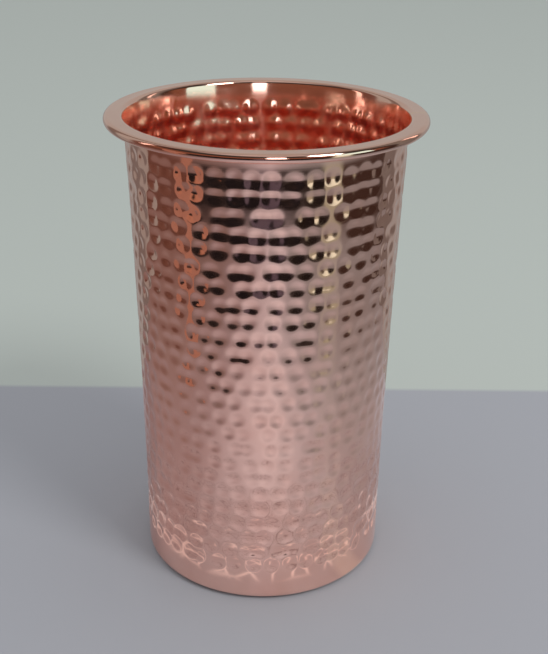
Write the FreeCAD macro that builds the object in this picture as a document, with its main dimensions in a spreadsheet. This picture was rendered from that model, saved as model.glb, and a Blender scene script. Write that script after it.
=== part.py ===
import FreeCAD, Part
import math
import os
import Sketcher

# A tall hammered copper vessel, open at the top: a water pot, bottle cooler or utensil holder.
# Millimetres. +Z is up, the origin is on the axis at the surface it stands on, and -Y is the front.
# Sheet copper rolled up and brazed along one side, its foot turned in under a base disc that is
# brazed all round, and its mouth turned out to a level rim whose edge is rolled over a wire.

doc = FreeCAD.newDocument("HammeredVessel")
dims = doc.addObject("Spreadsheet::Sheet", "Dims")

DRIVING = [
    ("height", 200.0, "from the table to the top of the rim"),
    ("foot_radius", 53.2, "outside of the wall just above the foot"),
    ("mouth_radius", 58.0, "outside of the wall just under the rim"),
    ("waist_depth", 1.0, "how far the wall pulls in at half height, against a straight cone"),
    ("sheet", 0.9, "thickness of the wall sheet"),
    ("rim_radius", 65.0, "outer edge of the rolled rim"),
    ("rim_bend", 1.0, "radius under the rim, where the wall turns outward"),
    ("wire_radius", 0.95, "the wire inside the rolled edge"),
    ("roll_gap", 22.0, "degrees below level at which the rolled edge stops, under the rim"),
    ("foot_bend", 3.0, "outside radius where the wall turns in at the foot"),
    ("lip_radius", 43.5, "inner edge of the turned-in foot lip"),
    ("seam_width", 0.6, "width of the brazed joint up the side of the wall"),
    ("base_sheet", 1.2, "thickness of the base disc"),
    ("base_radius", 50.0, "outer edge of the base disc, which lies on the lip"),
    ("base_rise", 1.2, "how far the middle of the base is dished up, so that it never rocks"),
    ("base_flat", 41.0, "radius at which the flat margin of the base starts"),
    ("fillet_leg", 1.8, "how far the braze runs in over the base disc"),
]
for row, (alias, value, meaning) in enumerate(DRIVING, start=1):
    dims.set("A%d" % row, meaning)
    dims.set("B%d" % row, str(value))
    dims.setAlias("B%d" % row, alias)
doc.recompute()

START, END, CENTRE = 1, 2, 3
ORIGIN = (-1, START)
X_AXIS, Z_AXIS = -1, -2
WALL_ARC = "Dims.height ^ 2 / (8 * Dims.waist_depth)"
SEAM_ANGLE = "Dims.seam_width / Dims.mouth_radius * 180 deg / pi"


def size(alias):
    """A driving dimension, read back from the sheet."""
    return float(dims.get(alias))


def point(radius, height):
    """A point of a half section."""
    return FreeCAD.Vector(radius, height, 0)


def polar(centre, radius, degrees):
    turn = math.radians(degrees)
    return point(centre.x + radius * math.cos(turn), centre.y + radius * math.sin(turn))


def direction(start, end):
    """The angle in degrees from one point to another, between -180 and 180."""
    return math.degrees(math.atan2(end.y - start.y, end.x - start.x))


def arc(centre, radius, start, end):
    """A counterclockwise arc from one angle in degrees to another."""
    circle = Part.Circle(centre, FreeCAD.Vector(0, 0, 1), radius)
    return Part.ArcOfCircle(circle, math.radians(start), math.radians(end))


def line(start, end):
    return Part.LineSegment(start, end)


def new_body(label):
    body = doc.addObject("PartDesign::Body", label)
    body.Label = label
    return body


def section_sketch(body, edges):
    """A closed half section on the body's own XZ plane: across is the radius, up is the height."""
    sketch = body.newObject("Sketcher::SketchObject", body.Label + "_section")
    plane = [o for o in body.Origin.OriginFeatures if o.Role == "XZ_Plane"][0]
    sketch.AttachmentSupport = [(plane, "")]
    sketch.MapMode = "FlatFace"
    sketch.addGeometry(edges, False)
    return sketch


def relate(sketch, kind, *pairs):
    """The same geometric constraint on each of several edges or pairs of ends."""
    for pair in pairs:
        sketch.addConstraint(Sketcher.Constraint(kind, *pair))


def bind(sketch, kind, where, value, name, expression):
    """A dimension of a sketch, tied to the sheet. value only starts the solver near the answer."""
    index = sketch.addConstraint(Sketcher.Constraint(kind, *where, value))
    sketch.renameConstraint(index, name)
    sketch.setExpression("Constraints." + name, expression)


def revolve(body, sketch, angle="360", reverse=False):
    """Turns a half section about the vessel's axis. angle is an expression in degrees."""
    turned = body.newObject("PartDesign::Revolution", body.Label + "_turned")
    turned.Profile = sketch
    turned.ReferenceAxis = (sketch, ["V_Axis"])
    turned.Reversed = reverse
    turned.setExpression("Angle", angle)
    sketch.Visibility = False
    return body


def wall_arc_centre(foot, rim, radius):
    """Centre of the wall's long outside arc, which bows in towards the axis.

    It touches the foot bend from outside and the rim bend from within.
    """
    to_foot = radius + size("foot_bend")
    to_rim = radius - size("rim_bend")
    chord = rim - foot
    along = (chord.Length ** 2 + to_foot ** 2 - to_rim ** 2) / (2 * chord.Length)
    across = math.sqrt(to_foot ** 2 - along ** 2)
    chord.normalize()
    return foot + chord * along + point(chord.y, -chord.x) * across


def sheet_section(body):
    """The wall sheet in section: lip, foot bend, waisted wall, rim bend, rim and rolled edge."""
    sheet, top = size("sheet"), size("height")
    lip, foot_bend, rim_bend = size("lip_radius"), size("foot_bend"), size("rim_bend")
    wire = size("wire_radius")
    bead = wire + sheet
    radius = top ** 2 / (8 * size("waist_depth"))
    foot_c = point(size("foot_radius") - foot_bend, foot_bend)
    rim_c = point(size("mouth_radius") + rim_bend, top - sheet - rim_bend)
    bead_c = point(size("rim_radius") - bead, top - bead)
    wall_c = wall_arc_centre(foot_c, rim_c, radius)
    foot_up = direction(foot_c, wall_c)
    rim_down = direction(wall_c, rim_c) % 360
    wall_end = direction(wall_c, foot_c) % 360
    roll_end = size("roll_gap") - 180
    edges = [
        line(point(lip, 0), point(foot_c.x, 0)),
        arc(foot_c, foot_bend, -90, foot_up),
        arc(wall_c, radius, rim_down, wall_end),
        arc(rim_c, rim_bend, 90, rim_down),
        line(point(rim_c.x, top - sheet), point(bead_c.x, top - sheet)),
        arc(bead_c, wire, roll_end, 90),
        line(polar(bead_c, bead, roll_end), polar(bead_c, wire, roll_end)),
        arc(bead_c, bead, roll_end, 90),
        line(point(bead_c.x, top), point(rim_c.x, top)),
        arc(rim_c, rim_bend + sheet, 90, rim_down),
        arc(wall_c, radius + sheet, rim_down, wall_end),
        arc(foot_c, foot_bend - sheet, -90, foot_up),
        line(point(foot_c.x, sheet), point(lip, sheet)),
        line(point(lip, sheet), point(lip, 0)),
    ]
    (under, foot_out, wall_out, rim_out, rim_under, roll_in, roll_edge, roll_out,
     rim_top, rim_in, wall_in, foot_in, lip_top, lip_edge) = range(len(edges))
    sketch = section_sketch(body, edges)
    relate(sketch, "Tangent",
           (under, END, foot_out, START),
           (foot_out, END, wall_out, END),
           (wall_out, START, rim_out, END),
           (rim_out, START, rim_under, START),
           (rim_under, END, roll_in, END),
           (roll_out, END, rim_top, START),
           (rim_top, END, rim_in, START),
           (rim_in, END, wall_in, START),
           (wall_in, END, foot_in, END),
           (foot_in, START, lip_top, START))
    relate(sketch, "Coincident",
           (roll_in, START, roll_edge, END),
           (roll_edge, START, roll_out, START),
           (lip_top, END, lip_edge, START),
           (lip_edge, END, under, START),
           (foot_out, CENTRE, foot_in, CENTRE),
           (wall_out, CENTRE, wall_in, CENTRE),
           (rim_out, CENTRE, rim_in, CENTRE),
           (roll_in, CENTRE, roll_out, CENTRE))
    relate(sketch, "Horizontal", (under,), (rim_under,), (rim_top,), (lip_top,))
    relate(sketch, "Vertical", (lip_edge,))
    relate(sketch, "PointOnObject",
           (under, START, X_AXIS),
           (roll_in, CENTRE, roll_edge))
    bind(sketch, "Radius", (foot_out,), foot_bend, "foot_bend", "Dims.foot_bend")
    bind(sketch, "Radius", (foot_in,), foot_bend - sheet, "foot_inside",
         "Dims.foot_bend - Dims.sheet")
    bind(sketch, "Radius", (wall_out,), radius, "wall_arc", WALL_ARC)
    bind(sketch, "Radius", (rim_out,), rim_bend, "rim_bend", "Dims.rim_bend")
    bind(sketch, "Radius", (roll_in,), wire, "wire", "Dims.wire_radius")
    bind(sketch, "DistanceX", (*ORIGIN, foot_out, CENTRE), foot_c.x, "foot_centre",
         "Dims.foot_radius - Dims.foot_bend")
    bind(sketch, "DistanceX", (*ORIGIN, rim_out, CENTRE), rim_c.x, "rim_centre",
         "Dims.mouth_radius + Dims.rim_bend")
    bind(sketch, "DistanceX", (*ORIGIN, roll_in, CENTRE), bead_c.x, "roll_centre",
         "Dims.rim_radius - Dims.wire_radius - Dims.sheet")
    bind(sketch, "DistanceX", (*ORIGIN, under, START), lip, "lip", "Dims.lip_radius")
    bind(sketch, "DistanceY", (*ORIGIN, rim_top, START), top, "top", "Dims.height")
    bind(sketch, "Angle", (roll_edge,), math.radians(size("roll_gap")), "roll_gap",
         "Dims.roll_gap * 1 deg")
    return sketch


def make_hammered_wall():
    """The wall sheet, rolled almost all the way round. The gap is closed by the seam at +X."""
    body = new_body("hammered_wall")
    sketch = sheet_section(body)
    return revolve(body, sketch, "360 deg - " + SEAM_ANGLE)


def make_side_seam():
    """The brazed joint that closes the wall. It was hammered and dressed flush with the sheet."""
    body = new_body("side_seam")
    sketch = sheet_section(body)
    return revolve(body, sketch, SEAM_ANGLE, reverse=True)


def make_base_disc():
    """A round of thicker sheet that lies on the foot lip, its middle dished up a little."""
    body = new_body("base_disc")
    sheet, thick = size("sheet"), size("base_sheet")
    edge, flat, rise = size("base_radius"), size("base_flat"), size("base_rise")
    radius = (flat ** 2 + rise ** 2) / (2 * rise)
    low_c = point(0, sheet + rise - radius)
    high_c = low_c + point(0, thick)
    start = direction(low_c, point(flat, sheet))
    edges = [
        line(point(flat, sheet), point(edge, sheet)),
        line(point(edge, sheet), point(edge, sheet + thick)),
        line(point(edge, sheet + thick), point(flat, sheet + thick)),
        arc(high_c, radius, start, 90),
        line(point(0, sheet + thick + rise), point(0, sheet + rise)),
        arc(low_c, radius, start, 90),
    ]
    under, rim, top, dish_top, axis, dish_under = range(len(edges))
    sketch = section_sketch(body, edges)
    relate(sketch, "Coincident",
           (under, END, rim, START),
           (rim, END, top, START),
           (top, END, dish_top, START),
           (dish_top, END, axis, START),
           (axis, END, dish_under, END),
           (dish_under, START, under, START))
    relate(sketch, "Horizontal", (under,), (top,))
    relate(sketch, "Vertical", (rim,))
    relate(sketch, "PointOnObject",
           (axis, START, Z_AXIS),
           (axis, END, Z_AXIS),
           (dish_top, CENTRE, Z_AXIS),
           (dish_under, CENTRE, Z_AXIS))
    bind(sketch, "DistanceX", (*ORIGIN, rim, START), edge, "edge", "Dims.base_radius")
    bind(sketch, "DistanceX", (*ORIGIN, under, START), flat, "flat", "Dims.base_flat")
    bind(sketch, "DistanceX", (*ORIGIN, top, END), flat, "flat_top", "Dims.base_flat")
    bind(sketch, "DistanceY", (*ORIGIN, under, START), sheet, "seat", "Dims.sheet")
    bind(sketch, "DistanceY", (rim, START, rim, END), thick, "thick", "Dims.base_sheet")
    bind(sketch, "DistanceY", (under, START, axis, END), rise, "rise", "Dims.base_rise")
    bind(sketch, "DistanceY", (axis, END, axis, START), thick, "thick_middle",
         "Dims.base_sheet")
    return revolve(body, sketch)


def make_base_braze():
    """The ring of brazing metal that fills the foot bend round the base disc, with a hollow top."""
    body = new_body("base_braze")
    sheet, thick, edge = size("sheet"), size("base_sheet"), size("base_radius")
    bend = size("foot_bend") - sheet
    foot_c = point(size("foot_radius") - size("foot_bend"), size("foot_bend"))
    toe = point(edge - size("fillet_leg"), sheet + thick)
    head = foot_c + point(bend, 0)
    across, up = head.x - toe.x, head.y - toe.y
    hollow = (across ** 2 + up ** 2) / (2 * up)
    hollow_c = toe + point(0, hollow)
    edges = [
        line(point(edge, sheet), point(foot_c.x, sheet)),
        arc(foot_c, bend, -90, 0),
        arc(hollow_c, hollow, -90, direction(hollow_c, head)),
        line(toe, point(edge, toe.y)),
        line(point(edge, toe.y), point(edge, sheet)),
    ]
    on_lip, on_bend, fillet, on_disc, on_edge = range(len(edges))
    sketch = section_sketch(body, edges)
    relate(sketch, "Tangent",
           (on_lip, END, on_bend, START),
           (fillet, START, on_disc, START))
    relate(sketch, "Coincident",
           (on_bend, END, fillet, END),
           (on_disc, END, on_edge, START),
           (on_edge, END, on_lip, START))
    relate(sketch, "Horizontal", (on_lip,), (on_disc,), (on_bend, END, on_bend, CENTRE))
    relate(sketch, "Vertical", (on_edge,))
    bind(sketch, "Radius", (on_bend,), bend, "bend", "Dims.foot_bend - Dims.sheet")
    bind(sketch, "DistanceX", (*ORIGIN, on_bend, CENTRE), foot_c.x, "foot_centre",
         "Dims.foot_radius - Dims.foot_bend")
    bind(sketch, "DistanceY", (*ORIGIN, on_edge, END), sheet, "seat", "Dims.sheet")
    bind(sketch, "DistanceX", (*ORIGIN, on_edge, START), edge, "edge", "Dims.base_radius")
    bind(sketch, "DistanceY", (on_edge, END, on_edge, START), thick, "thick",
         "Dims.base_sheet")
    bind(sketch, "DistanceX", (fillet, START, on_edge, START), edge - toe.x, "leg",
         "Dims.fillet_leg")
    return revolve(body, sketch)


def make_rim_wire():
    """A ring of round wire, wrapped by the rolled edge of the rim, which it keeps round."""
    ring = doc.addObject("Part::Torus", "rim_wire")
    ring.Label = "rim_wire"
    ring.setExpression("Radius1", "Dims.rim_radius - Dims.sheet - Dims.wire_radius")
    ring.setExpression("Radius2", "Dims.wire_radius")
    ring.setExpression("Placement.Base.z", "Dims.height - Dims.sheet - Dims.wire_radius")
    return ring


nodes = [
    make_hammered_wall(),
    make_side_seam(),
    make_base_disc(),
    make_base_braze(),
    make_rim_wire(),
]
doc.recompute()

for obj in doc.Objects:
    if "Invalid" in obj.State or "Error" in obj.State:
        raise SystemExit("failed: " + obj.Label)
    if obj.TypeId == "Sketcher::SketchObject" and not obj.FullyConstrained:
        raise SystemExit("section not fully dimensioned: " + obj.Label)
for node in nodes:
    if node.Shape.isNull() or not node.Shape.isValid() or len(node.Shape.Solids) != 1:
        raise SystemExit("not one valid solid: " + node.Label)

os.makedirs("parts", exist_ok=True)
for node in nodes:
    node.Shape.exportStep("parts/" + node.Label + ".step")
    box = node.Shape.optimalBoundingBox(False, False)
    print("%-14s %9.1f mm3, radius %.2f, height %.2f to %.2f"
          % (node.Label, node.Shape.Volume, box.XMax, box.ZMin, box.ZMax))
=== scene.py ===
import math

import bpy
import numpy as np
from mathutils import Matrix, Vector


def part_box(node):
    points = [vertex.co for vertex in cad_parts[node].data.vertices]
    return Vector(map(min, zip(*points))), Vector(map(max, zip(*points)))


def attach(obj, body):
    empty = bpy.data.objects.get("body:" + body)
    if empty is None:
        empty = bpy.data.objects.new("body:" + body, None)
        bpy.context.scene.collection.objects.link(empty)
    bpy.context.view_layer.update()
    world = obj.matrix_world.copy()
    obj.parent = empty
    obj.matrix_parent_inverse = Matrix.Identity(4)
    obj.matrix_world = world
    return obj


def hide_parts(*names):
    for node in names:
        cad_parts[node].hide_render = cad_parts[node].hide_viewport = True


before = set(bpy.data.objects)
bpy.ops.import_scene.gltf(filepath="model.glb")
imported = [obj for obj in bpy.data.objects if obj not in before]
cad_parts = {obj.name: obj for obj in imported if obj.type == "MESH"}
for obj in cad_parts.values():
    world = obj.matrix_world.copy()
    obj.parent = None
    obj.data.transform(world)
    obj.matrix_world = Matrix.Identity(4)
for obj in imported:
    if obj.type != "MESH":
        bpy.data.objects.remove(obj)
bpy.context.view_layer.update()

# --- The hammered wall -------------------------------------------------------------------------
# Copper sheet rolled into a tube and struck all over with a ball-faced hammer in level rows, then
# buffed bright. The foot is turned in to a flat lip, the mouth is turned out to a level rim, and
# the rim's edge is rolled down round a wire. Lengths are in millimetres.
MM = 0.001
WALL = "hammered_wall"
wall_low, wall_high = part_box(WALL)
HEIGHT = wall_high.z / MM
RIM_RADIUS = wall_high.y / MM
SHEET = 0.9
FOOT_RADIUS = 53.2
FOOT_BEND = 3.0
LIP_RADIUS = 43.5
MOUTH_RADIUS = 58.0
RIM_BEND = 1.0
WAIST = 0.95
FLARE = 0.8
FLARE_FROM = 188.0
WIRE_RADIUS = 0.97
BEAD_RADIUS = 1.85
ROLL_END = math.radians(22 - 180)
SEAM_TURN = 0.6 / MOUTH_RADIUS
QUARTER = math.pi / 2

FOOT_R = FOOT_RADIUS - FOOT_BEND
RIM_R = MOUTH_RADIUS + RIM_BEND
WALL_BOTTOM = FOOT_BEND
WALL_TOP = HEIGHT - SHEET - RIM_BEND
BEAD_R = RIM_RADIUS - BEAD_RADIUS
BEAD_Z = HEIGHT - BEAD_RADIUS


def wall_radius(z):
    """Outside of the wall before hammering: a cone pulled in half way up, flared under the rim."""
    up = (z - WALL_BOTTOM) / (WALL_TOP - WALL_BOTTOM)
    cone = FOOT_RADIUS + (MOUTH_RADIUS - FLARE - FOOT_RADIUS) * up - 4 * WAIST * up * (1 - up)
    return cone + FLARE * np.clip((z - FLARE_FROM) / (WALL_TOP - FLARE_FROM), 0, 1) ** 3


def bend(r, z, radius, start, end, steps):
    """Points along a round bend of the section, angles in radians, without the first one."""
    turn = np.linspace(start, end, steps + 1)[1:]
    return [(r + radius * math.cos(a), z + radius * math.sin(a)) for a in turn]


def straight(r0, z0, r1, z1, steps):
    """Points along a straight stretch of the section, without the first one."""
    share = np.linspace(0, 1, steps + 1)[1:]
    return [(r0 + (r1 - r0) * s, z0 + (z1 - z0) * s) for s in share]


def wall_face(inset, start, end, steps):
    """Points up or down one face of the wall, set in from the outside, without the first one."""
    return [(wall_radius(z) - inset, z) for z in np.linspace(start, end, steps)[1:]]


def sheet_section(outside_steps, inside_steps):
    """The sheet in section, once round: radius and height, and how far hammering moves each point.

    1 is the outside of the wall, 2 the inside, and 0 is left as it was turned.
    """
    lean = math.atan(wall_radius(WALL_TOP) - wall_radius(WALL_TOP - 1))
    parts = [
        (0, straight(LIP_RADIUS, 0, FOOT_R, 0, 4)),
        (0, bend(FOOT_R, FOOT_BEND, FOOT_BEND, -QUARTER, 0, 7)),
        (1, wall_face(0, WALL_BOTTOM, WALL_TOP, outside_steps)),
        (0, bend(RIM_R, WALL_TOP, RIM_BEND, math.pi - lean, QUARTER, 6)),
        (0, straight(RIM_R, HEIGHT - SHEET, BEAD_R, HEIGHT - SHEET, 4)),
        (0, bend(BEAD_R, BEAD_Z, WIRE_RADIUS, QUARTER, ROLL_END, 18)),
        (0, bend(BEAD_R, BEAD_Z, BEAD_RADIUS, ROLL_END, QUARTER, 26)),
        (0, straight(BEAD_R, HEIGHT, RIM_R, HEIGHT, 6)),
        (0, bend(RIM_R, WALL_TOP, RIM_BEND + SHEET, QUARTER, math.pi - lean, 12)),
        (2, wall_face(SHEET, WALL_TOP, WALL_BOTTOM, inside_steps)),
        (0, bend(FOOT_R, FOOT_BEND, FOOT_BEND - SHEET, 0, -QUARTER, 5)),
        (0, straight(FOOT_R, SHEET, LIP_RADIUS, SHEET, 4)),
        (0, [(LIP_RADIUS, 0)]),
    ]
    points = [p for kind, part in parts for p in part]
    sides = [kind for kind, part in parts for p in part]
    return np.array(points), np.array(sides)


# The hammer marks: level rows, each struck by eye, so that neither rows nor marks are quite even.
# Towards the mouth the marks are wider and run together. The lowest rows were struck harder, over
# the corner of the stake, and their marks have crisp edges.
ROWS = 25
TOP_ROW = 188.0
BOTTOM_ROW = 17.5
ALONG_ROW = 7.5
MARK_WIDE = 3.8
MARK_HIGH = 3.9
MARK_DEEP = 0.45
WIDER_FROM = 112.0
WIDER_OVER = 35.0
WIDER_BY = 0.5
HARD_BELOW = 50.0
HARD_OVER = 4.0
HARD_EXTRA = 0.52
INSIDE_RELIEF = 1.4
rng = np.random.default_rng(11)


def strike_rows():
    """Angle, height, half width, half height, depth and edge softness of every hammer mark."""
    marks = []
    for z in np.linspace(TOP_ROW, BOTTOM_ROW, ROWS):
        z += rng.normal(0, 0.25)
        count = round(2 * math.pi * wall_radius(z) / ALONG_ROW + rng.normal(0, 0.8))
        pitch = 2 * math.pi / count
        sway = rng.uniform(0.1, 0.35)
        swing = rng.uniform(0, 2 * math.pi)
        start = rng.uniform(0, pitch)
        hard = 1 / (1 + math.exp((z - HARD_BELOW) / HARD_OVER))
        wider = WIDER_BY * float(np.clip((z - WIDER_FROM) / WIDER_OVER, 0, 1))
        row_depth = MARK_DEEP * (0.84 + 0.38 * (z / TOP_ROW) ** 2 + HARD_EXTRA * hard)
        for i in range(count):
            angle = start + (i + rng.normal(0, 0.15)) * pitch
            height = z + sway * math.sin(2 * angle + swing) + rng.normal(0, 0.22)
            wide = (MARK_WIDE + wider) * (1 + rng.normal(0, 0.05)) + 0.1 * hard
            high = MARK_HIGH * (1 + rng.normal(0, 0.04))
            depth = row_depth * (1 + rng.normal(0, 0.10))
            marks.append((angle % (2 * math.pi), height, wide, high, depth, 2 - 0.85 * hard))
    return marks


MARKS = strike_rows()


def hammering(angles, heights):
    """How far in the hammer has driven the sheet at each height and angle, in mm."""
    total = np.zeros((len(heights), len(angles)))
    for angle, height, wide, high, depth, soft in MARKS:
        rows = np.nonzero(abs(heights - height) < high)[0]
        if len(rows) == 0:
            continue
        across = (angles - angle + math.pi) % (2 * math.pi) - math.pi
        across = across * wall_radius(height) / wide
        cols = np.nonzero(abs(across) < 1)[0]
        up = (heights[rows, None] - height) / high
        dish = np.clip(1 - up ** 2 - across[None, cols] ** 2, 0, 1)
        total[np.ix_(rows, cols)] += depth * dish ** soft
    return total


def smooth_piece(name, points, faces):
    """An object made from points in mm, smooth except over its sharp corners."""
    mesh = bpy.data.meshes.new(name)
    mesh.from_pydata((points * MM).tolist(), [], faces)
    mesh.polygons.foreach_set("use_smooth", [True] * len(mesh.polygons))
    mesh.set_sharp_from_angle(angle=math.radians(50))
    piece = bpy.data.objects.new(name, mesh)
    bpy.context.scene.collection.objects.link(piece)
    return piece


def turned_sheet(name, section, sides, angles):
    """The section carried round the axis through the angles, hammered where it is wall.

    The mesh remembers how deep each point was struck, and which points are on the inside.
    """
    r = np.repeat(section[:, :1], len(angles), axis=1)
    z = np.repeat(section[:, 1:], len(angles), axis=1)
    dent = np.zeros_like(r)
    for side, relief in ((1, 1.0), (2, INSIDE_RELIEF)):
        rows = np.nonzero(sides == side)[0]
        dent[rows] = hammering(angles, section[rows, 1]) * relief
    r = r - dent
    n_up, n_round = r.shape
    points = np.stack([r * np.cos(angles), r * np.sin(angles), z], axis=-1).reshape(-1, 3)
    up = np.arange(n_up)[:, None] * n_round
    next_up = (np.arange(n_up)[:, None] + 1) % n_up * n_round
    col = np.arange(n_round - 1)[None, :]
    faces = np.stack([up + col, up + col + 1, next_up + col + 1, next_up + col], axis=-1)
    faces = faces.reshape(-1, 4).tolist()
    faces.append([k * n_round for k in range(n_up)])
    faces.append([k * n_round + n_round - 1 for k in reversed(range(n_up))])
    piece = smooth_piece(name, points, faces)
    hammer = piece.data.attributes.new("hammer", "FLOAT", "POINT")
    hammer.data.foreach_set("value", dent.reshape(-1))
    inner = piece.data.attributes.new("inner", "FLOAT", "POINT")
    inner.data.foreach_set("value", np.repeat(sides == 2, n_round).astype(float))
    return piece


# The finish. These steps lay a finish out as a tree of nodes: each adds a node and gives back the
# value or colour that it makes.
def node(tree, kind, x=0, y=0, **values):
    """A node, with its inputs or settings given by name."""
    made = tree.nodes.new(kind)
    made.location = (x, y)
    for key, value in values.items():
        if key in made.inputs:
            made.inputs[key].default_value = value
        else:
            setattr(made, key, value)
    return made


def feed(tree, socket, value):
    """Give an input a number, a colour, or what another node makes."""
    if isinstance(value, tuple):
        socket.default_value = (*value, 1)
    elif isinstance(value, (int, float)):
        socket.default_value = value
    else:
        tree.links.new(value, socket)


def maths(tree, x, y, operation, *values):
    """Arithmetic on numbers or on what other nodes make."""
    made = node(tree, "ShaderNodeMath", x, y, operation=operation)
    for socket, value in zip(made.inputs, values):
        feed(tree, socket, value)
    return made.outputs[0]


def ranged(tree, x, y, value, low, high, to_low=0.0, to_high=1.0, way="LINEAR"):
    """A value carried from one range into another, and held at its ends."""
    made = node(tree, "ShaderNodeMapRange", x, y, interpolation_type=way)
    for name, end in (("From Min", low), ("From Max", high), ("To Min", to_low), ("To Max", to_high)):
        made.inputs[name].default_value = end
    tree.links.new(value, made.inputs["Value"])
    return made.outputs["Result"]


def blended(tree, x, y, share, first, second, way="MIX"):
    """Two colours laid over each other by a share."""
    made = node(tree, "ShaderNodeMix", x, y, data_type="RGBA", blend_type=way)
    for name, value in (("Factor", share), ("A", first), ("B", second)):
        feed(tree, made.inputs[name], value)
    return made.outputs["Result"]


def pattern(tree, kind, x, y, place, output="Fac", **values):
    """One output of a texture laid out over the given place."""
    made = node(tree, kind, x, y, **values)
    tree.links.new(place, made.inputs["Vector"])
    return made.outputs[output]


def raise_grain(tree, surface, height, strength, distance):
    """Fine relief, too small to be in the mesh."""
    grain = node(tree, "ShaderNodeBump", -400, -400, Strength=strength, Distance=distance)
    tree.links.new(height, grain.inputs["Height"])
    tree.links.new(grain.outputs["Normal"], surface.inputs["Normal"])


def new_material(name):
    """An empty finish: the material, its tree and its surface."""
    material = bpy.data.materials.new(name)
    material.use_nodes = True
    tree = material.node_tree
    tree.nodes.clear()
    surface = node(tree, "ShaderNodeBsdfPrincipled")
    out = node(tree, "ShaderNodeOutputMaterial", 300)
    tree.links.new(surface.outputs[0], out.inputs[0])
    return material, tree, surface


def polished_copper(name, bright, dull, smooth, rough):
    """Buffed copper: two tones, soft smears, duller hammer marks and fine lines round the axis.

    The inside was only brushed, so there it smears what it mirrors up and down.
    """
    material, tree, surface = new_material(name)
    surface.inputs["Metallic"].default_value = 1.0
    surface.inputs["Anisotropic Rotation"].default_value = 0.25
    grain_way = node(tree, "ShaderNodeTangent", -400, -600, direction_type="RADIAL", axis="Z")
    tree.links.new(grain_way.outputs[0], surface.inputs["Tangent"])
    place = node(tree, "ShaderNodeTexCoord", -1400).outputs["Object"]
    struck = node(tree, "ShaderNodeAttribute", -1100, 550, attribute_name="hammer").outputs["Fac"]
    inside = node(tree, "ShaderNodeAttribute", -850, -300, attribute_name="inner").outputs["Fac"]

    cloud = pattern(tree, "ShaderNodeTexNoise", -1100, 300, place, Scale=38.0, Detail=4.0, Roughness=0.55)
    worn = maths(tree, -900, 400, "MULTIPLY_ADD", struck, 0.25, cloud)
    spread = ranged(tree, -700, 300, worn, 0.4, 0.75)
    tree.links.new(blended(tree, -400, 200, spread, bright, dull), surface.inputs["Base Color"])

    smear = pattern(tree, "ShaderNodeTexNoise", -1100, -100, place, Scale=90.0, Detail=6.0, Roughness=0.6)
    sheen = ranged(tree, -850, -100, smear, 0.35, 0.7, smooth, rough)
    brushed = maths(tree, -600, -100, "MULTIPLY_ADD", inside, 0.055, sheen)
    tree.links.new(brushed, surface.inputs["Roughness"])
    one_way = ranged(tree, -600, -300, inside, 0, 1, 0.4, 0.93)
    tree.links.new(one_way, surface.inputs["Anisotropic"])

    stretch = node(tree, "ShaderNodeMapping", -1000, -600)
    stretch.inputs["Scale"].default_value = (60, 60, 2600)
    tree.links.new(place, stretch.inputs["Vector"])
    stretched = stretch.outputs["Vector"]
    buffing = pattern(tree, "ShaderNodeTexNoise", -800, -600, stretched, Scale=1.0, Detail=3.0)
    raise_grain(tree, surface, buffing, 0.12, 0.00002)
    return material


copper = polished_copper("hammered_copper", (0.955, 0.62, 0.52), (0.91, 0.55, 0.45), 0.07, 0.13)
wall_section, wall_sides = sheet_section(outside_steps=230, inside_steps=150)
seam_low, seam_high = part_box("side_seam")
SEAM_AT = math.atan2((seam_low.y + seam_high.y) / 2, RIM_RADIUS * MM)
wall_angles = SEAM_AT + SEAM_TURN / 2 + np.linspace(0, 2 * math.pi - SEAM_TURN, 448)
wall = turned_sheet("wall_sheet", wall_section, wall_sides, wall_angles)
wall.data.materials.append(copper)
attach(wall, "root")
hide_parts(WALL)

# --- The side seam -----------------------------------------------------------------------------
# Brazing metal that joins the two edges of the rolled sheet. It was hammered and buffed with the
# wall, so only its slightly yellower colour and its wandering edges tell where it is.
SEAM_LAP = 0.6
SEAM_PROUD = 0.03
SEAM_WAVE = 0.22
seam_half = (SEAM_TURN + SEAM_LAP / MOUTH_RADIUS) / 2
seam_angles = SEAM_AT + np.linspace(-1, 1, 9) * seam_half
seam = turned_sheet("seam_line", wall_section, wall_sides, seam_angles)
for point in seam.data.vertices:
    out = math.hypot(point.co.x, point.co.y)
    z = point.co.z
    across = (math.atan2(point.co.y, point.co.x) - SEAM_AT) / seam_half
    wave = 1 + SEAM_WAVE * (math.sin(900 * z) + 0.6 * math.sin(2300 * z + 3 * across))
    turn = SEAM_AT + across * seam_half * wave
    raised = point.normal * (SEAM_PROUD * (1.1 - across ** 2) * MM)
    point.co = Vector((out * math.cos(turn), out * math.sin(turn), z)) + raised
seam_metal = polished_copper("seam_braze", (0.95, 0.68, 0.50), (0.88, 0.58, 0.42), 0.1, 0.18)
seam.data.materials.append(seam_metal)
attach(seam, "root")
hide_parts("side_seam")

# --- The base ----------------------------------------------------------------------------------
# A round of thicker copper sheet lying on the foot lip. It was planished in rings with a flat
# hammer until its middle rose a little, and the braze has left its edge heat-tinted.
BASE_RADIUS = 50.0
BASE_FLAT = 41.0
BASE_RISE = 1.2
BASE_SHEET = 1.2
BASE_CORNER = 0.25
BASE_UPPER = SHEET + BASE_SHEET
PLANISH_RINGS = 6
PLANISH_STEP = 6.6
PLANISH_APART = 7.6
PLANISH_RADIUS = 5.6
PLANISH_DEEP = 0.07


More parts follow.
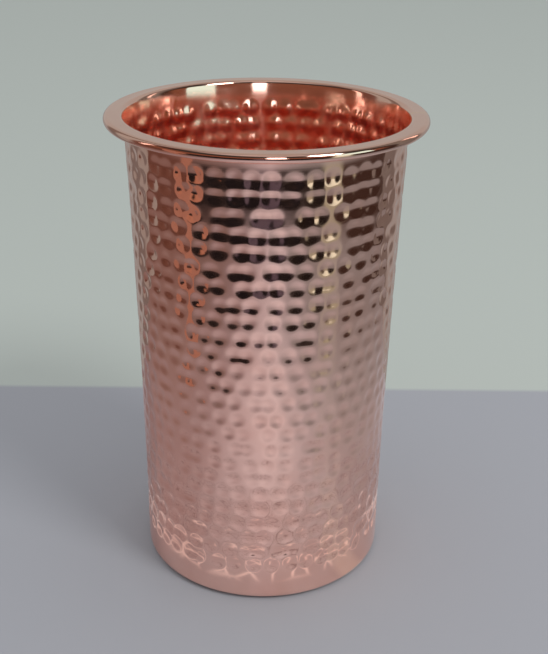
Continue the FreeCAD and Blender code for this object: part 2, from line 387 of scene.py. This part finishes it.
def planish_marks():
    """Place and depth of each flat hammer mark, ring by ring out from the middle."""
    marks = [(0.0, 0.0, PLANISH_DEEP)]
    for ring in range(1, PLANISH_RINGS + 1):
        count = round(2 * math.pi * ring * PLANISH_STEP / PLANISH_APART)
        start = rng.uniform(0, 1)
        for i in range(count):
            a = 2 * math.pi * (i + start + rng.normal(0, 0.07)) / count
            out = ring * PLANISH_STEP + rng.normal(0, 0.35)
            deep = PLANISH_DEEP * (1 + rng.normal(0, 0.2))
            marks.append((out * math.cos(a), out * math.sin(a), deep))
    return marks


def circle(turns, r, z):
    """A ring of points, whose radius and height may change on the way round."""
    return np.stack([r * np.cos(turns), r * np.sin(turns), z + 0 * turns], -1)


def between_rings(rings, n, closed):
    """Faces between each ring of n points and the next, and back to the first if closed."""
    faces = []
    for k in range(rings if closed else rings - 1):
        m = (k + 1) % rings
        for i in range(n):
            j = (i + 1) % n
            faces.append((k * n + i, k * n + j, m * n + j, m * n + i))
    return faces


def base_disc(name):
    """The disc as two faces and an edge, both faces planished inside the flat border."""
    turns = np.linspace(0, 2 * math.pi, 240, endpoint=False)
    out = np.concatenate([np.linspace(0.6, 47.5, 84), [48.6, 49.6]])
    r = out[:, None]
    x, y = r * np.cos(turns), r * np.sin(turns)
    dish = BASE_RISE * np.clip(1 - (r / BASE_FLAT) ** 2, 0, 1)
    struck = np.zeros_like(x)
    for mx, my, deep in planish_marks():
        far = ((x - mx) ** 2 + (y - my) ** 2) / PLANISH_RADIUS ** 2
        struck += deep * np.clip(1 - far, 0, 1) ** 1.5
    fade = np.clip((BASE_FLAT + 1.5 - r) / 3, 0, 1)
    upper = BASE_UPPER + dish - struck * fade
    under = SHEET + dish - struck * fade * 0.6
    rings = [circle(turns, radius, height) for radius, height in zip(out, upper)]
    rings.append(circle(turns, BASE_RADIUS, BASE_UPPER - BASE_CORNER))
    rings.append(circle(turns, BASE_RADIUS, SHEET + BASE_CORNER))
    rings += [circle(turns, radius, height) for radius, height in zip(out[::-1], under[::-1])]
    n = len(turns)
    faces = [(b, a, d, c) for a, b, c, d in between_rings(len(rings), n, closed=False)]
    faces.append(tuple(range(n)))
    faces.append(tuple(reversed(range((len(rings) - 1) * n, len(rings) * n))))
    return smooth_piece(name, np.concatenate(rings), faces)


def ramped(tree, x, y, value, stops, low, high):
    """The colour at a value, from stops given as (place, colour) between low and high."""
    made = node(tree, "ShaderNodeValToRGB", x, y)
    ramp = made.color_ramp
    while len(ramp.elements) < len(stops):
        ramp.elements.new(0.5)
    for element, (place, colour) in zip(ramp.elements, stops):
        element.position = (place - low) / (high - low)
        element.color = (*colour, 1)
    tree.links.new(value, made.inputs["Fac"])
    return made.outputs["Color"]


HEAT_TINT = [
    (0.000, (0.90, 0.54, 0.43)),
    (0.043, (0.87, 0.50, 0.38)),
    (0.049, (0.74, 0.38, 0.25)),
    (0.053, (0.52, 0.24, 0.20)),
    (0.058, (0.33, 0.17, 0.15)),
]
TINT_REACH = 0.06


def base_copper():
    """Duller copper: rings left by the scouring pad, old stains, and a dark heat tint at the edge."""
    material, tree, surface = new_material("base_copper")
    surface.inputs["Metallic"].default_value = 1.0
    place = node(tree, "ShaderNodeTexCoord", -1400).outputs["Object"]
    rings = pattern(tree, "ShaderNodeTexWave", -1000, -300, place, wave_type="RINGS",
                    rings_direction="Z", Scale=420.0, Distortion=3.0, Detail=3.0)
    stain = pattern(tree, "ShaderNodeTexNoise", -1000, 0, place, Scale=55.0, Detail=6.0, Roughness=0.65)

    flat = node(tree, "ShaderNodeVectorMath", -1200, 300, operation="MULTIPLY")
    flat.inputs[1].default_value = (1, 1, 0)
    tree.links.new(place, flat.inputs[0])
    reach = node(tree, "ShaderNodeVectorMath", -1000, 300, operation="LENGTH")
    tree.links.new(flat.outputs["Vector"], reach.inputs[0])
    wander = maths(tree, -800, 300, "MULTIPLY_ADD", stain, 0.012, reach.outputs["Value"])
    share = maths(tree, -700, 450, "DIVIDE", wander, TINT_REACH)
    tint = ramped(tree, -600, 300, share, HEAT_TINT, 0, TINT_REACH)
    stained = blended(tree, -300, 200, stain, tint, (0.78, 0.68, 0.62), way="MULTIPLY")
    tree.links.new(stained, surface.inputs["Base Color"])

    sheen = ranged(tree, -600, -50, stain, 0.35, 0.70, 0.20, 0.42)
    tree.links.new(sheen, surface.inputs["Roughness"])
    raise_grain(tree, surface, rings, 0.25, 0.00003)
    return material


base = base_disc("base_round")
base.data.materials.append(base_copper())
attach(base, "root")
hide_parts("base_disc")

# --- The foot braze ----------------------------------------------------------------------------
# A ring of brazing metal run into the corner between base and wall. It was fed in by hand with a
# rod, so its inner edge wanders and its surface is rippled and a little pitted.
FILLET_LEG = 1.8
BRAZE_RIPPLE = 0.28
BRAZE_FIT = 0.03
RIPPLE_BEATS = (3, 7, 16, 29, 47, 71)


def braze_ring(name):
    """The hollow-topped ring: its open face from toe to wall, then back down the wall and disc."""
    turns = np.linspace(0, 2 * math.pi, 360, endpoint=False)
    waves = np.zeros_like(turns)
    for beat in RIPPLE_BEATS:
        waves += rng.normal(0, 1) * np.sin(beat * turns + rng.uniform(0, 6.3)) / math.sqrt(beat)
    waves *= BRAZE_RIPPLE / abs(waves).max()
    inside = FOOT_BEND - SHEET
    toe_r = BASE_RADIUS - FILLET_LEG + waves
    head_r = FOOT_R + inside
    rings = []
    for share in np.linspace(0, 1, 9):
        r = toe_r + (head_r - toe_r) * share
        z = BASE_UPPER + BRAZE_FIT + (FOOT_BEND + waves * 0.6 - BASE_UPPER) * share ** 2
        rings.append(circle(turns, r, z + waves * 0.12 * share))
    back = bend(FOOT_R, FOOT_BEND, inside, 0, -QUARTER, 5)
    back.append((BASE_RADIUS + BRAZE_FIT, SHEET))
    back.append((BASE_RADIUS + BRAZE_FIT, BASE_UPPER))
    back.append((BASE_RADIUS - 0.6, BASE_UPPER))
    rings += [circle(turns, r, z) for r, z in back]
    faces = between_rings(len(rings), len(turns), closed=True)
    return smooth_piece(name, np.concatenate(rings), faces)


def cast_metal(name, bright, dull, rough):
    """Metal left as it froze: mottled, pitted and matt."""
    material, tree, surface = new_material(name)
    surface.inputs["Metallic"].default_value = 1.0
    place = node(tree, "ShaderNodeTexCoord", -1200).outputs["Object"]
    mottle = pattern(tree, "ShaderNodeTexNoise", -900, 200, place, Scale=240.0, Detail=5.0, Roughness=0.6)
    tree.links.new(blended(tree, -400, 200, mottle, bright, dull), surface.inputs["Base Color"])
    sheen = ranged(tree, -600, -50, mottle, 0, 1, rough * 0.7, rough * 1.3)
    tree.links.new(sheen, surface.inputs["Roughness"])
    pits = pattern(tree, "ShaderNodeTexVoronoi", -900, -300, place, output="Distance", Scale=900.0)
    raise_grain(tree, surface, pits, 0.35, 0.00006)
    return material


braze = braze_ring("braze_ring")
braze.data.materials.append(cast_metal("foot_braze", (0.88, 0.66, 0.40), (0.62, 0.42, 0.24), 0.38))
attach(braze, "root")
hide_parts("base_braze")

# --- The rim wire ------------------------------------------------------------------------------
# Drawn brass wire bent to a ring. The rim's edge is rolled round it, so it shows only as a thin
# line under the rim, where it has tarnished.
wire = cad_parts["rim_wire"]
wire_metal = polished_copper("wire_brass", (0.84, 0.64, 0.33), (0.50, 0.36, 0.18), 0.22, 0.40)
wire.data.materials.clear()
wire.data.materials.append(wire_metal)

# --- The table ---------------------------------------------------------------------------------
# A plain pale table, in one sheet with a plain wall beyond it. The copper doesn't mirror it: it
# mirrors the smaller table of the next section, which lies just over this one.
TABLE_LOW = -0.0004
WALL_LINE = 0.142


def flat_sheet(name, low_x, low_y, high_x, high_y, z=0.0):
    """A level sheet of the studio, in metres."""
    mesh = bpy.data.meshes.new(name)
    corners = [(low_x, low_y, z), (high_x, low_y, z), (high_x, high_y, z), (low_x, high_y, z)]
    mesh.from_pydata(corners, [], [(0, 1, 2, 3)])
    made = bpy.data.objects.new(name, mesh)
    bpy.context.scene.collection.objects.link(made)
    return made


def matt(name, near, far):
    """Matt paint, with another tone behind the line where the table meets the wall."""
    material, tree, surface = new_material(name)
    surface.inputs["Roughness"].default_value = 0.8
    surface.inputs["Specular IOR Level"].default_value = 0.15
    place = node(tree, "ShaderNodeTexCoord", -900)
    split = node(tree, "ShaderNodeSeparateXYZ", -700)
    tree.links.new(place.outputs["Object"], split.inputs[0])
    edge = ranged(tree, -500, 0, split.outputs["Y"], WALL_LINE - 0.002, WALL_LINE + 0.002)
    tree.links.new(blended(tree, -250, 0, edge, near, far), surface.inputs["Base Color"])
    return material


table = flat_sheet("table", -2.5, -2.5, 2.5, 2.5, TABLE_LOW)
table.data.materials.append(matt("table_paint", (0.365, 0.375, 0.41), (0.47, 0.51, 0.48)))
table.visible_glossy = False

# --- The mirrored table ------------------------------------------------------------------------
# The table as the copper mirrors it, its light and shade painted on: lit in the middle, warm on
# the left, in painted shade close to the foot, and dark out of the lamps' reach, where a dim figure
# in front and a pale green window on the right are painted in as reflections. Round the foot lies a
# bright web of light thrown back by the hammer marks, painted on and glowing, with hair-thin painted
# shadows outside it.
TABLE_LEFT = -0.62
TABLE_RIGHT = 0.60
ALONG_TABLE = [
    (-0.62, (0.22, 0.12, 0.10)),
    (-0.26, (0.30, 0.23, 0.22)),
    (-0.15, (0.36, 0.31, 0.33)),
    (-0.06, (0.56, 0.54, 0.59)),
    (0.02, (0.68, 0.68, 0.74)),
    (0.10, (0.48, 0.49, 0.54)),
    (0.20, (0.33, 0.35, 0.37)),
    (0.60, (0.28, 0.30, 0.31)),
]
# Painted reflections of the room beyond the table's edge, by compass angle: dark, with a dim figure in
# front and a pale green window on the right.
PAINTED_ROOM_BEYOND = [
    (-180, (0.17, 0.09, 0.07)),
    (-66, (0.14, 0.065, 0.048)),
    (-56, (0.016, 0.013, 0.014)),
    (-9, (0.016, 0.013, 0.014)),
    (-5, (0.085, 0.075, 0.10)),
    (5, (0.075, 0.065, 0.09)),
    (9, (0.016, 0.013, 0.014)),
    (41, (0.018, 0.015, 0.013)),
    (47, (0.34, 0.38, 0.29)),
    (57, (0.30, 0.33, 0.25)),
    (62, (0.05, 0.032, 0.026)),
    (180, (0.06, 0.038, 0.030)),
]
# Painted light and shade by distance from the axis: shaded close to the foot, brightest a little way out,
# dimmer beyond.
PAINTED_LIGHT_BY_REACH = [
    (0.06, (0.68, 0.68, 0.68)),
    (0.17, (0.95, 0.95, 0.95)),
    (0.23, (0.95, 0.95, 0.95)),
    (0.32, (0.72, 0.72, 0.72)),
]
REACH_ENDS = 0.50
REACH_FADES = 0.405
WEB_SPREAD = 0.2
WEB_RING = [
    (0.064, (0, 0, 0)),
    (0.069, (0.36, 0.36, 0.36)),
    (0.076, (0.36, 0.36, 0.36)),
    (0.081, (0, 0, 0)),
]
HAIR_RING = [
    (0.082, (0, 0, 0)),
    (0.088, (0.55, 0.55, 0.55)),
    (0.125, (0.55, 0.55, 0.55)),
    (0.140, (0, 0, 0)),
]


def compass(tree, split):
    """The share of a full turn at which a place lies, from behind by the left, front and right."""
    front = maths(tree, -1000, 500, "MULTIPLY", split.outputs["Y"], -1)
    angle = maths(tree, -800, 500, "ARCTAN2", split.outputs["X"], front)
    return ranged(tree, -600, 500, angle, -math.pi, math.pi)


def mirrored_paint():
    """The table's light and dark as paint, with the web of light round the foot glowing."""
    material, tree, surface = new_material("mirrored_paint")
    surface.inputs["Roughness"].default_value = 0.8
    surface.inputs["Specular IOR Level"].default_value = 0.1
    place = node(tree, "ShaderNodeTexCoord", -1300).outputs["Object"]
    split = node(tree, "ShaderNodeSeparateXYZ", -1150)
    tree.links.new(place, split.inputs[0])
    reach = node(tree, "ShaderNodeVectorMath", -1150, -300, operation="LENGTH")
    tree.links.new(place, reach.inputs[0])
    reach = reach.outputs["Value"]

    along = ranged(tree, -700, 100, split.outputs["X"], TABLE_LEFT, TABLE_RIGHT)
    lit = ramped(tree, -500, 200, along, ALONG_TABLE, TABLE_LEFT, TABLE_RIGHT)
    dark = ramped(tree, -500, 0, compass(tree, split), PAINTED_ROOM_BEYOND, -180, 180)
    near = ramped(tree, -700, -400, reach, PAINTED_LIGHT_BY_REACH, 0, 1)
    far = ranged(tree, -700, -200, reach, REACH_ENDS, REACH_FADES, way="SMOOTHSTEP")
    share = maths(tree, -450, -300, "MULTIPLY", far, near)
    tone = blended(tree, -200, 0, share, dark, lit)

    web = pattern(tree, "ShaderNodeTexVoronoi", -900, -600, place, output="Distance",
                  feature="DISTANCE_TO_EDGE", Scale=62.0)
    line = ranged(tree, -700, -600, web, 0.10, 0.0, way="SMOOTHSTEP")
    hair = ranged(tree, -700, -1000, web, 0.06, 0.0, way="SMOOTHSTEP")
    out = maths(tree, -850, -800, "MULTIPLY", reach, 1 / WEB_SPREAD)
    ring = ramped(tree, -700, -800, out, WEB_RING, 0, WEB_SPREAD)
    outer = ramped(tree, -700, -1200, out, HAIR_RING, 0, WEB_SPREAD)
    shaded = maths(tree, -450, -1100, "MULTIPLY", hair, outer)
    lined = blended(tree, -100, -200, shaded, tone, (0.10, 0.045, 0.035))
    tree.links.new(lined, surface.inputs["Base Color"])
    thrown = maths(tree, -450, -700, "MULTIPLY", line, ring)
    surface.inputs["Emission Color"].default_value = (1.0, 0.93, 0.88, 1)
    tree.links.new(thrown, surface.inputs["Emission Strength"])
    return material


mirrored = flat_sheet("table_in_mirror", TABLE_LEFT, -0.60, TABLE_RIGHT, WALL_LINE)
mirrored.visible_camera = False
mirrored.visible_diffuse = False
mirrored.visible_shadow = False
mirrored.data.materials.append(mirrored_paint())

# --- The room ----------------------------------------------------------------------------------
# The copper mirrors a dim room: warm on the left, dark in front, a window on the right and pale
# behind. Light that has been passed round inside the vessel is dimmer and redder still.
ROOM_ROUND = [
    (-180, (0.42, 0.43, 0.41)),
    (-142, (0.42, 0.43, 0.41)),
    (-137, (0.20, 0.17, 0.15)),
    (-126, (0.20, 0.17, 0.15)),
    (-121, (0.41, 0.42, 0.39)),
    (-106, (0.40, 0.41, 0.38)),
    (-101, (0.17, 0.09, 0.07)),
    (-70, (0.11, 0.05, 0.035)),
    (-67, (0.45, 0.23, 0.16)),
    (-56, (0.40, 0.20, 0.13)),
    (-54, (0.014, 0.012, 0.012)),
    (-10, (0.011, 0.010, 0.012)),
    (-6, (0.10, 0.09, 0.12)),
    (4, (0.09, 0.08, 0.11)),
    (8, (0.011, 0.010, 0.012)),
    (44, (0.016, 0.013, 0.010)),
    (47, (0.95, 1.15, 0.95)),
    (57, (0.75, 0.90, 0.75)),
    (60, (0.045, 0.028, 0.022)),
    (98, (0.045, 0.028, 0.022)),
    (102, (0.20, 0.20, 0.18)),
    (126, (0.16, 0.14, 0.12)),
    (134, (0.42, 0.43, 0.41)),
    (180, (0.42, 0.43, 0.41)),
]
ROOM_UPWARD = [
    (0.0, (0.21, 0.085, 0.05)),
    (0.40, (0.20, 0.09, 0.055)),
    (0.52, (0.03, 0.025, 0.022)),
    (0.80, (0.05, 0.045, 0.04)),
    (0.92, (0.55, 0.53, 0.50)),
    (1.0, (0.60, 0.58, 0.55)),
]
FLOOR_BEHIND = (0.17, 0.17, 0.18)
PASSED_ROUND = (0.31, 0.20, 0.14)
ON_MATT = (0.75, 0.76, 0.77)
BACKDROP = (0.42, 0.45, 0.42)


def room_colour(tree):
    """What the copper mirrors of the room, by compass angle and height."""
    place = node(tree, "ShaderNodeTexCoord", -1400)
    split = node(tree, "ShaderNodeSeparateXYZ", -1200)
    tree.links.new(place.outputs["Generated"], split.inputs[0])
    up = split.outputs["Z"]
    away = split.outputs["Y"]
    walls = ramped(tree, -400, 100, compass(tree, split), ROOM_ROUND, -180, 180)
    behind = ranged(tree, -600, -600, away, 0.10, 0.30, 0, 0.4)
    below = ranged(tree, -600, -800, up, 0.01, -0.03)
    ground = maths(tree, -400, -700, "MULTIPLY", behind, below)
    walls = blended(tree, -300, 0, ground, walls, FLOOR_BEHIND)
    overhead = ramped(tree, -400, -200, up, ROOM_UPWARD, 0, 1)
    over_table = ranged(tree, -600, -200, up, 0.06, 0.10)
    in_front = ranged(tree, -600, -400, away, 0.05, -0.10)
    both = maths(tree, -400, -400, "MULTIPLY", over_table, in_front)
    return blended(tree, -200, 0, both, walls, overhead)


def make_room():
    """The room for the copper, a plain backdrop, and even light for everything matt."""
    world = bpy.data.worlds.new("room")
    bpy.context.scene.world = world
    world.use_nodes = True
    tree = world.node_tree
    tree.nodes.clear()
    rays = node(tree, "ShaderNodeLightPath", -200, 300).outputs
    often = maths(tree, -100, 500, "GREATER_THAN", rays["Ray Depth"], 2.5)
    part = maths(tree, -50, 500, "MULTIPLY", often, 0.75)
    colour = blended(tree, -100, 0, part, room_colour(tree), PASSED_ROUND)
    colour = blended(tree, 0, 0, rays["Is Glossy Ray"], ON_MATT, colour)
    colour = blended(tree, 150, 0, rays["Is Camera Ray"], colour, BACKDROP)
    shine = node(tree, "ShaderNodeBackground", 300)
    tree.links.new(colour, shine.inputs["Color"])
    out = node(tree, "ShaderNodeOutputWorld", 450)
    tree.links.new(shine.outputs[0], out.inputs[0])


make_room()

# --- The lamps ---------------------------------------------------------------------------------
# One large soft lamp lights the table and the vessel from the right. Upright glowing cards stand
# where the copper should mirror a lamp, a window or a warm glow, and light nothing else.
lamp = bpy.data.lights.new("window_light", "AREA")
lamp.shape = "DISK"
lamp.size = 0.7
lamp.energy = 15
lamp.color = (1.0, 1.0, 0.98)
held = bpy.data.objects.new("window_light", lamp)
bpy.context.scene.collection.objects.link(held)
held.location = (1.1, -1.0, 1.6)
held.rotation_euler = (Vector((0, 0, 0.1)) - held.location).to_track_quat("-Z", "Y").to_euler()


def glowing_card(name, at, wide, high, glow, colour):
    """An upright glowing card that only the copper mirrors, turned to face the vessel."""
    mesh = bpy.data.meshes.new(name)
    away = Vector((at[0], at[1], 0)).normalized()
    side = Vector((away.y, -away.x, 0)) * wide / 2
    low = Vector(at)
    top = low + Vector((0, 0, high))
    mesh.from_pydata([low - side, low + side, top + side, top - side], [], [(0, 1, 2, 3)])
    made = bpy.data.objects.new(name, mesh)
    bpy.context.scene.collection.objects.link(made)
    material, tree, surface = new_material(name)
    surface.inputs["Base Color"].default_value = (0, 0, 0, 1)
    surface.inputs["Emission Color"].default_value = (*colour, 1)
    surface.inputs["Emission Strength"].default_value = glow
    mesh.materials.append(material)
    made.visible_camera = False
    made.visible_diffuse = False
    made.visible_shadow = False


glowing_card("hand_lamp", (0.065, -0.55, 0.27), 0.12, 0.30, 3.4, (1.0, 0.98, 0.96))
glowing_card("window_card", (0.73, -0.42, 0.25), 0.42, 0.40, 1.3, (0.66, 1.0, 0.92))
glowing_card("left_lamp", (-0.60, -0.03, 0.25), 0.06, 0.30, 1.6, (1.0, 0.75, 0.65))
glowing_card("right_lamp", (0.53, 0.28, 0.25), 0.06, 0.30, 1.6, (1.0, 0.75, 0.65))
# A dim warm card that is no lamp: it glows only to lay a painted orange reflection down the left of the
# wall.
glowing_card("warm_card", (-0.240, -0.136, 0.002), 0.045, 0.24, 0.36, (0.95, 0.50, 0.36))

# --- The camera --------------------------------------------------------------------------------
# It stands in front and looks down into the mouth, very slightly turned and tilted, as held in the
# hand. Light may pass round inside the vessel many times before it comes out.
EYE = Vector((0, -0.430136, 0.302462))
PITCH = 0.43045
ROLL = 0.0140
YAW = 0.00942
LENS = 59.78
ahead = Vector((math.sin(YAW) * math.cos(PITCH), math.cos(YAW) * math.cos(PITCH), -math.sin(PITCH)))
level = Vector((math.cos(YAW), -math.sin(YAW), 0))
over_head = level.cross(ahead)
right = math.cos(ROLL) * level + math.sin(ROLL) * over_head
upward = math.cos(ROLL) * over_head - math.sin(ROLL) * level
camera = bpy.data.objects.new("camera", bpy.data.cameras.new("camera"))
bpy.context.scene.collection.objects.link(camera)
camera.data.lens = LENS
camera.matrix_world = Matrix.Translation(EYE) @ Matrix((right, upward, -ahead)).transposed().to_4x4()
bpy.context.scene.camera = camera
bpy.context.scene.view_settings.view_transform = "Standard"
bpy.context.scene.cycles.max_bounces = 16
bpy.context.scene.cycles.glossy_bounces = 12
